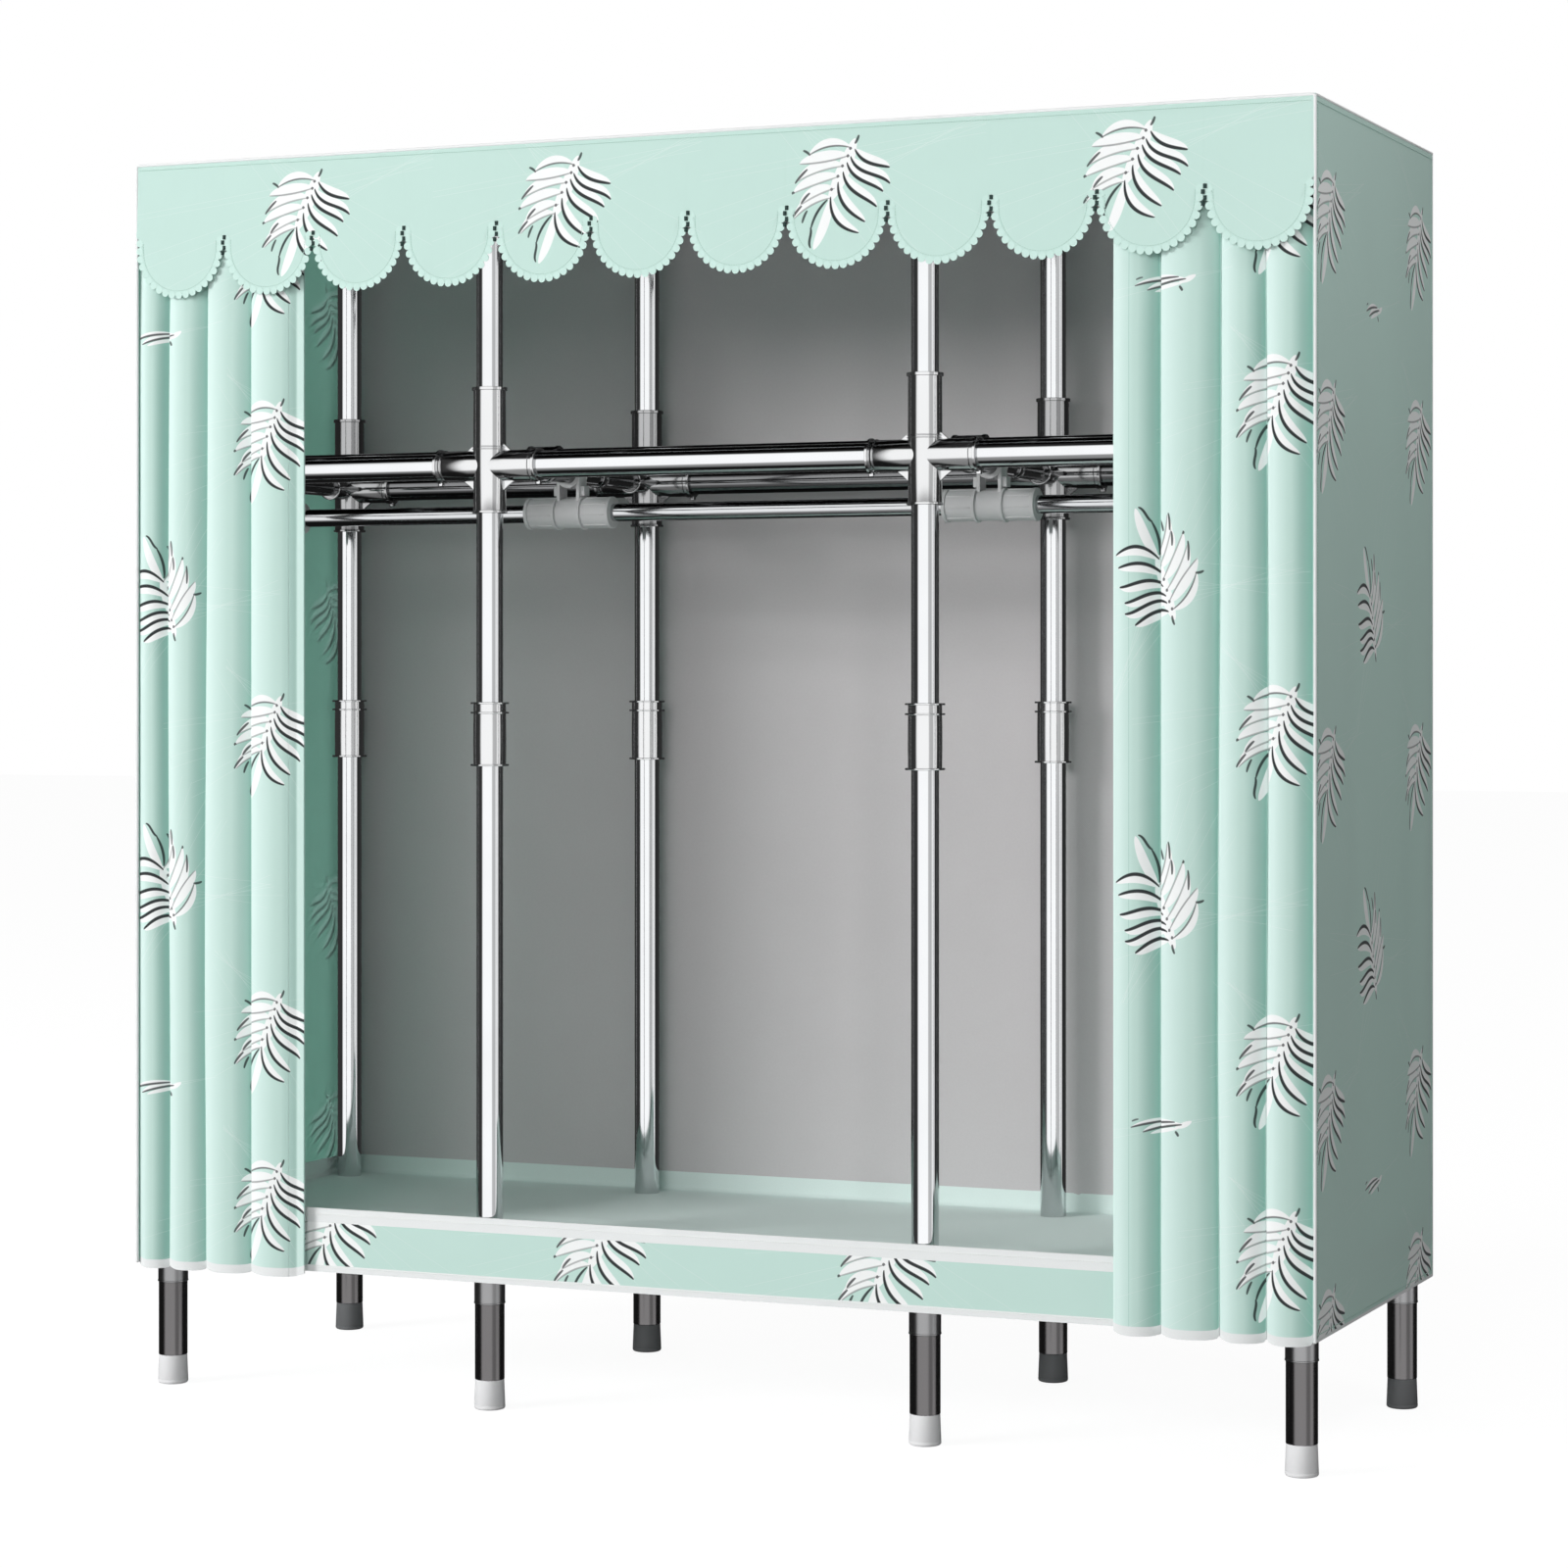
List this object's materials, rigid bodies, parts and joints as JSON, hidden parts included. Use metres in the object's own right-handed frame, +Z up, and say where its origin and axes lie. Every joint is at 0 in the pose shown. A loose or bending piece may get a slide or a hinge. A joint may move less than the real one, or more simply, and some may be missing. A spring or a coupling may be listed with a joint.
{
  "type": "fabric wardrobe",
  "caption": "Free-standing wardrobe of plugged steel tubes under a mint cloth cover, with a scalloped valance and two sliding curtains.",
  "frame": {"origin": "on the floor under the middle of the cover", "axes": "+Z up, the open front faces -Y, +X to the right as seen from the front"},
  "size_m": [1.69, 0.59, 1.7],
  "materials": {
    "chrome_tube": "polished chrome-plated steel tube",
    "connector_plastic": "silver-white moulded plastic",
    "bracket_plastic": "light grey moulded plastic",
    "white_cap": "white moulded foot cap",
    "grey_cap": "dark grey moulded foot cap",
    "mint_cloth": "mint woven cloth with a white feather print and white piping",
    "grey_lining": "plain grey non-woven cloth"
  },
  "bodies": {
    "frame": {"post_front_1": "chrome_tube", "foot_cap_front_1": "white_cap", "post_front_2": "chrome_tube", "foot_cap_front_2": "white_cap", "post_front_3": "chrome_tube", "foot_cap_front_3": "white_cap", "post_front_4": "chrome_tube", "foot_cap_front_4": "white_cap", "bottom_rail_front": "chrome_tube", "post_back_1": "chrome_tube", "foot_cap_back_1": "grey_cap", "post_back_2": "chrome_tube", "foot_cap_back_2": "grey_cap", "post_back_3": "chrome_tube", "foot_cap_back_3": "grey_cap", "post_back_4": "chrome_tube", "foot_cap_back_4": "grey_cap", "bottom_rail_back": "chrome_tube", "shelf_connector_1": "connector_plastic", "bottom_depth_bar_1": "chrome_tube", "shelf_depth_bar_1": "chrome_tube", "top_depth_bar_1": "chrome_tube", "hanging_bracket_1": "bracket_plastic", "shelf_connector_2": "connector_plastic", "bottom_depth_bar_2": "chrome_tube", "shelf_depth_bar_2": "chrome_tube", "top_depth_bar_2": "chrome_tube", "hanging_bracket_2": "bracket_plastic", "shelf_connector_3": "connector_plastic", "bottom_depth_bar_3": "chrome_tube", "shelf_depth_bar_3": "chrome_tube", "top_depth_bar_3": "chrome_tube", "hanging_bracket_3": "bracket_plastic", "shelf_connector_4": "connector_plastic", "bottom_depth_bar_4": "chrome_tube", "shelf_depth_bar_4": "chrome_tube", "top_depth_bar_4": "chrome_tube", "hanging_bracket_4": "bracket_plastic", "shelf_rail_left": "chrome_tube", "hanging_rail_left": "chrome_tube", "shelf_rail_middle": "chrome_tube", "hanging_rail_middle": "chrome_tube", "shelf_rail_right": "chrome_tube", "hanging_rail_right": "chrome_tube", "shelf_rail_back": "chrome_tube", "shelf_slat_front": "chrome_tube", "shelf_slat_back": "chrome_tube", "top_rail_front": "chrome_tube", "top_rail_back": "chrome_tube", "curtain_rod": "chrome_tube", "floor_tray": "mint_cloth", "cover_top": "mint_cloth", "cover_left": "mint_cloth", "cover_right": "mint_cloth", "cover_back": "grey_lining", "valance": "mint_cloth", "curtain_left": "mint_cloth", "curtain_right": "mint_cloth"},
    "left_curtain_edge": {"curtain_left_lead_hem": "mint_cloth"},
    "right_curtain_edge": {"curtain_right_lead_hem": "mint_cloth"}
  },
  "joints": [
    {"name": "curtain_left_slide", "type": "slide", "parent": "frame", "child": "left_curtain_edge", "axis": [1, 0, 0], "range_m": [0, 0.582], "deforming": ["curtain_left"]},
    {"name": "curtain_right_slide", "type": "slide", "parent": "frame", "child": "right_curtain_edge", "axis": [-1, 0, 0], "range_m": [0, 0.582], "deforming": ["curtain_right"]}
  ]
}
